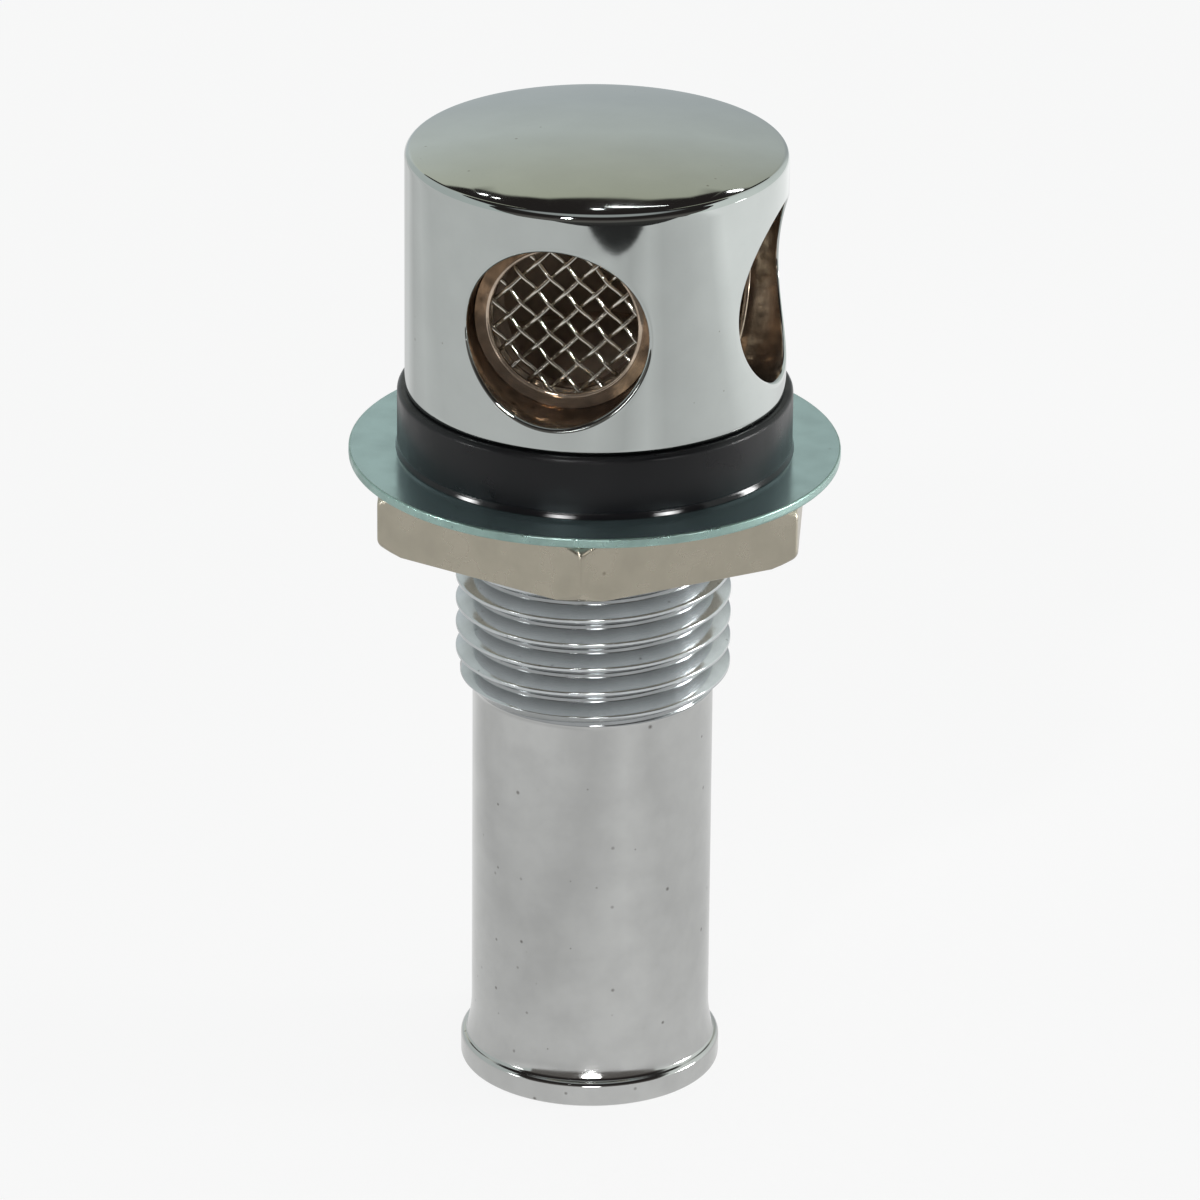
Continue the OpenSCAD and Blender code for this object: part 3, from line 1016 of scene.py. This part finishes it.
# %% [markdown]
# Below the thread the stem is the hose tail: a plain tube that flares gently into a rounded bead.
# The bore and the spigot inside the head close the section, so the stem is one sealed mesh.
# Plating doesn't reach far into the bore, so the inside has the dull finish.

# %% Stem and hose tail
STEM_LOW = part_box("shank")[0].z / MM
STEM_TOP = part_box("shank")[1].z / MM
THREAD_END = -17.6
UNDERCUT = 1.2
THREAD_TOP = UNDERSIDE - UNDERCUT
TAIL_R = 8.35
BEAD_R = 9.1
BEAD_ROUND = 0.35
FLARE_L = 2.6
LAND_L = 1.2
END_ROUND = 0.3
BORE_R = 6.5
BORE_BEVEL = 0.4
BORE_ROUND = 0.1
SPIGOT_GAP = 0.02
SPIGOT_R = CHAMBER_R - SPIGOT_GAP
SPIGOT_ROUND = 0.2
THREAD_HOLD = 0.3
FLARE_HOLD = 0.4
BEAD_HOLD = 0.08
STEM_STEPS = 200
FLARE_STEPS = 12
BEAD_STEPS = 8
SMOOTH, BORE, THREADED = 0, 1, 2

bead_level = STEM_LOW + END_ROUND + LAND_L
flare_level = bead_level + BEAD_ROUND + FLARE_L
flare_rise = BEAD_R - BEAD_ROUND - TAIL_R
flare_r = (FLARE_L**2 + flare_rise**2) / (2 * flare_rise)

bm = bmesh.new()
turns = turns_of(STEM_STEPS)
screw_rows(bm, turns, stem_thread, THREAD_END, THREAD_TOP, TAIL_R, finish=THREADED)
tail = [(TAIL_R, THREAD_END), (TAIL_R, THREAD_END - THREAD_HOLD), (TAIL_R, flare_level + FLARE_HOLD)]
for k in range(FLARE_STEPS + 1):
    z = FLARE_L * k / FLARE_STEPS
    tail.append((TAIL_R + flare_r - math.sqrt(flare_r**2 - z**2), flare_level - z))
for k in range(1, BEAD_STEPS + 1):
    a = math.pi / 2 * (1 - k / BEAD_STEPS)
    tail.append((BEAD_R - BEAD_ROUND + BEAD_ROUND * math.cos(a), bead_level + BEAD_ROUND * math.sin(a)))
end = rounded(
    [
        (BEAD_R, bead_level - BEAD_HOLD, 0),
        (BEAD_R, STEM_LOW, END_ROUND),
        (BORE_R + BORE_BEVEL, STEM_LOW, BORE_ROUND),
        (BORE_R, STEM_LOW + BORE_BEVEL, 0),
    ]
)
inner = [(BORE_R, STEM_LOW + BORE_BEVEL)]
inner += rounded(
    [
        (BORE_R, STEM_LOW + 2 * BORE_BEVEL, 0),
        (BORE_R, STEM_TOP, BORE_ROUND),
        (SPIGOT_R, STEM_TOP, SPIGOT_ROUND),
        (SPIGOT_R, UNDERSIDE, 0),
        (TAIL_R, UNDERSIDE - SPIGOT_GAP, 0),
        (TAIL_R, THREAD_TOP, 0),
    ]
)
spin(bm, tail + end, turns, finish=SMOOTH)
spin(bm, inner, turns, finish=BORE)
stem_finishes = [STEM_CHROME, CHAMBER_DULL, THREAD_CHROME]
make_piece("vent_stem", bm, stem_finishes, "vent", "shank")

# %% [markdown]
# The gasket and the washer are rings. The rubber's wall is straight with a rounded top edge, and its foot
# spreads into a thin lip that catches the lamps. The washer is stamped from thin plate, so its corners
# are only broken, and its cut edge is duller than its faces.

# %% Gasket and washer
GASKET_R = (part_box("gasket")[1].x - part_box("gasket")[0].x) / 2 / MM
WASHER_R = (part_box("washer")[1].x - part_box("washer")[0].x) / 2 / MM
WASHER_T = -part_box("washer")[0].z / MM
GASKET_HOLE = 9.575
GASKET_ROUND = 0.35
HOLE_ROUND = 0.1
LIP_FOOT = 0.05
LIP_HIGH = 0.28
LIP_BEND = 0.1
LIP_TOP = 0.42
LIP_WIDE = 0.13
LIP_FILLET = 0.08
WASHER_HOLE = 9.925
WASHER_BURR = 0.18
WASHER_BREAK = 0.12
RING_STEPS = 190
FACES, CUT = 0, 1

bm = bmesh.new()
turns = turns_of(RING_STEPS, 0.0)
section = rounded(
    [
        (GASKET_HOLE, 0.0, HOLE_ROUND),
        (GASKET_R, 0.0, LIP_FOOT),
        (GASKET_R - LIP_HIGH * math.tan(math.radians(LIP_SLOPE)), LIP_HIGH, LIP_BEND),
        (GASKET_R - LIP_WIDE, LIP_TOP, LIP_FILLET),
        (GASKET_R - LIP_WIDE, UNDERSIDE, GASKET_ROUND),
        (GASKET_HOLE, UNDERSIDE, HOLE_ROUND),
    ]
)
spin(bm, section, turns, closed=True)
make_piece("vent_gasket", bm, [GASKET_RUBBER], "vent", "gasket")

bm = bmesh.new()
section = rounded(
    [
        (WASHER_HOLE, -WASHER_T, HOLE_ROUND),
        (WASHER_R, -WASHER_T, WASHER_BURR),
        (WASHER_R, 0.0, WASHER_BREAK),
        (WASHER_HOLE, 0.0, HOLE_ROUND),
    ]
)
rows = [ring_of(bm, r, z, turns) for r, z in section]
per_corner = ARC_STEPS + 3
cut_first = per_corner + 1
cut_last = 3 * per_corner - 2
skin_rows(bm, rows[cut_first : cut_last + 1], finish=CUT)
skin_rows(bm, rows[cut_last:] + rows[: cut_first + 1], finish=FACES)
make_piece("clamp_washer", bm, [WASHER_ZINC, WASHER_EDGE], "washer", "washer")

# %% [markdown]
# The nut is laid out column by column. Round the hexagon each column takes its own side distance and its
# own bevel, so the curved bevel lines that a real nut has fall exactly on mesh edges.
# Its thread uses the stem's own form with a small gap, cut short so that the nut passes the bead.

# %% Nut
NUT_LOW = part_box("nut")[0].z / MM
NUT_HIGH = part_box("nut")[1].z / MM
NUT_FLAT = 14.3
NUT_FACE = 15.6
NUT_SIDES = 6
HALF_SIDE = 180 / NUT_SIDES
NUT_TURN = 9.8
NUT_MINOR = 9.15
NUT_GAP = 0.05
NUT_LEAD = 0.35
CORNER_ROUND = 0.3
EDGE_BREAK = 0.12
EDGE_ROUND = 0.1
BEVEL_SOFT = 1.0
BEVEL_SLOPE = math.tan(math.radians(30))
FLAT_TURNS = [0.0, 5.0, 10.0, 15.0, 20.0, 24.0, 27.0, 28.5, 29.2, 29.48, 29.6, 29.75, 29.88]

flat_turns = sorted({s * t for t in FLAT_TURNS for s in (-1, 1)} | {HALF_SIDE})
middles = [NUT_TURN + 2 * HALF_SIDE * (flat - 1) for flat in range(NUT_SIDES)]
nut_turns = [math.radians(middle + t) for middle in middles for t in flat_turns]
half_side = math.radians(HALF_SIDE)
corner_centre = (NUT_FLAT - CORNER_ROUND) / math.cos(half_side)
corner_reach = corner_centre + CORNER_ROUND * math.cos(half_side)
corner_half = math.atan(CORNER_ROUND * math.sin(half_side) / corner_reach)
nut_mouth = THREAD_R + NUT_LEAD


def nut_side(t):
    """Distance from the axis to the side of the nut, t degrees from the middle of a flat."""
    aside = math.radians(HALF_SIDE - abs(t))
    if aside > corner_half:
        return NUT_FLAT / math.cos(math.radians(t))
    off_corner = corner_centre * math.sin(aside)
    return corner_centre * math.cos(aside) + math.sqrt(CORNER_ROUND**2 - off_corner**2)


def nut_column(t):
    """Half section of the nut's outside, t degrees from the middle of a flat."""
    side = nut_side(t)
    face = min(NUT_FACE, side - EDGE_BREAK)
    fall = (side - face) * BEVEL_SLOPE
    soft = max(EDGE_ROUND, BEVEL_SOFT * (side - face))
    return rounded(
        [
            (nut_mouth, NUT_HIGH, 0),
            (face, NUT_HIGH, EDGE_ROUND),
            (side, NUT_HIGH - fall, soft),
            (side, NUT_LOW + fall, soft),
            (face, NUT_LOW, EDGE_ROUND),
            (nut_mouth, NUT_LOW, 0),
        ]
    )


def nut_thread(station):
    """Radius of the nut's thread beside the stem's."""
    return max(stem_thread(station) + NUT_GAP, NUT_MINOR)


bm = bmesh.new()
screw_rows(bm, nut_turns, nut_thread, NUT_LOW, NUT_HIGH, nut_mouth, inward=True)
columns = [nut_column(t) for t in flat_turns] * NUT_SIDES
rows = [[spun_point(bm, r, a, z) for (r, z), a in zip(row, nut_turns)] for row in zip(*columns)]
skin_rows(bm, rows)
make_piece("clamp_nut", bm, [NUT_NICKEL], "nut", "nut")

# %% [markdown]
# Each port holds a screen: a ring pressed against the ledge, with woven gauze caught in its groove.
# The gauze is the finest work on the vent. Every wire is its own round tube, and it rises over one
# crossing wire and dives under the next, so the weave catches the light as woven wire does.

# %% Screens
RIM_R = 6.23
RIM_T = 1.3
RIM_FALL = 0.35
RIM_EDGE = 0.2
RIM_ROUND = 0.1
RIM_RAISE = 0.05
RIM_STEPS = 112
GROOVE_DEPTH = 0.65
GROOVE_X = 0.28
GROOVE_W = 0.66
WIRE_R = 0.16
MESH_PITCH = 1.4
WIRE_COUNT = 3
WIRE_REACH = 5.68
STEPS_PER_PITCH = 10
LEAST_STEPS = 4
TUBE_SIDES = 8

gauze_x = LEDGE_X + GROOVE_X + GROOVE_W / 2


def at_port(number):
    """Stands a piece made along +Z on the axis of one port."""
    return (
        Matrix.Rotation(math.radians(90.0 * (number - 1)), 4, "Z")
        @ Matrix.Translation((0, 0, PORT_LEVEL * MM))
        @ Matrix.Rotation(math.radians(90.0), 4, "X")
    )


def rim_section():
    """Half section of a screen's ring: a round inner edge, a face that falls away and a groove inside."""
    front = LEDGE_X + RIM_T
    groove = LEDGE_X + GROOVE_X
    return rounded(
        [
            (MOUTH_R, LEDGE_X, 0),
            (RIM_R, LEDGE_X, 0),
            (RIM_R, front - RIM_FALL, RIM_ROUND),
            (MOUTH_R, front + RIM_RAISE, RIM_EDGE),
            (MOUTH_R, groove + GROOVE_W, 0),
            (MOUTH_R + GROOVE_DEPTH, groove + GROOVE_W, 0),
            (MOUTH_R + GROOVE_DEPTH, groove, 0),
            (MOUTH_R, groove, 0),
        ]
    )


def weave_wire(bm, aside, side, across):
    """One crimped wire of the gauze, as a closed tube."""
    half = math.sqrt(WIRE_REACH**2 - (abs(aside) + WIRE_R) ** 2)
    count = max(LEAST_STEPS, round(2 * half / MESH_PITCH * STEPS_PER_PITCH))
    rings = []
    for k in range(count + 1):
        s = -half + 2 * half * k / count
        wave = side * WIRE_R * math.cos(math.pi * s / MESH_PITCH)
        slope = -side * WIRE_R * math.pi / MESH_PITCH * math.sin(math.pi * s / MESH_PITCH)
        along = Vector((1, 0, slope)).normalized()
        up = Vector((-along.z, 0, along.x))
        ring = []
        for n in range(TUBE_SIDES):
            a = 2 * math.pi * n / TUBE_SIDES
            p = Vector((s, aside, wave)) + up * (WIRE_R * math.cos(a))
            p += Vector((0, WIRE_R * math.sin(a), 0))
            if across:
                p = Vector((-p.y, p.x, p.z))
            ring.append(bm.verts.new(p * MM))
        rings.append(ring)
    skin_rows(bm, rings)
    bm.faces.new(rings[0])
    bm.faces.new(rings[-1])


turns = turns_of(RIM_STEPS)
for number in range(1, PORT_COUNT + 1):
    bm = bmesh.new()
    spin(bm, rim_section(), turns, closed=True)
    node = f"screen_rim_{number}"
    make_piece(f"screen_ring_{number}", bm, [RIM_BRONZE], "vent", node, at_port(number))

    bm = bmesh.new()
    for i in range(-WIRE_COUNT, WIRE_COUNT + 1):
        side = 1 if i % 2 == 0 else -1
        weave_wire(bm, i * MESH_PITCH, side, False)
        weave_wire(bm, i * MESH_PITCH, -side, True)
    lay = Matrix.Translation((0, 0, gauze_x * MM)) @ Matrix.Rotation(math.radians(45.0), 4, "Z")
    place = at_port(number) @ lay
    node = f"gauze_{number}"
    make_piece(f"screen_gauze_{number}", bm, [WIRE_STEEL], "vent", node, place)
